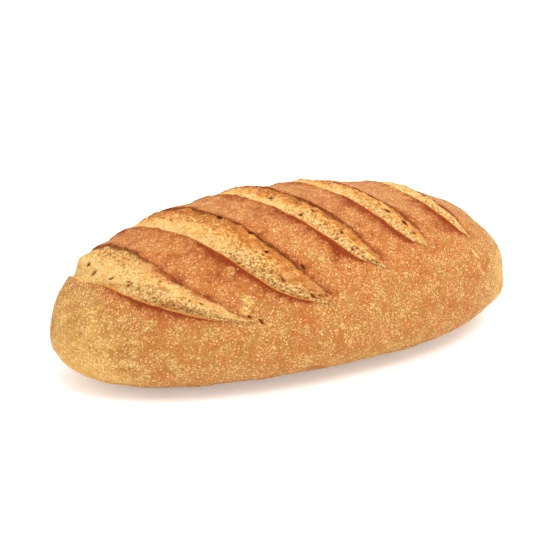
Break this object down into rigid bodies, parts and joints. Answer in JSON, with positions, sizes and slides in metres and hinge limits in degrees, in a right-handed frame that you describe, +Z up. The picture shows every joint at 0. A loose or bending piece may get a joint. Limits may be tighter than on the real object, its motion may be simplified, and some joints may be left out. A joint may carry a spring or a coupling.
{
  "type": "rye loaf",
  "caption": "Long uncut hearth loaf with a domed crust, slanting slashes that opened in the oven, and a flat base to stand on.",
  "frame": {"origin": "middle of the flat base, on the surface that the loaf stands on", "axes": "+X along the loaf, +Z up; the front, with the long points of the slashes, faces -Y"},
  "size_m": [0.28, 0.136, 0.0913],
  "materials": {
    "crust": "matt, mealy baked crust"
  },
  "bodies": {
    "root": {"loaf": "crust"}
  },
  "joints": []
}
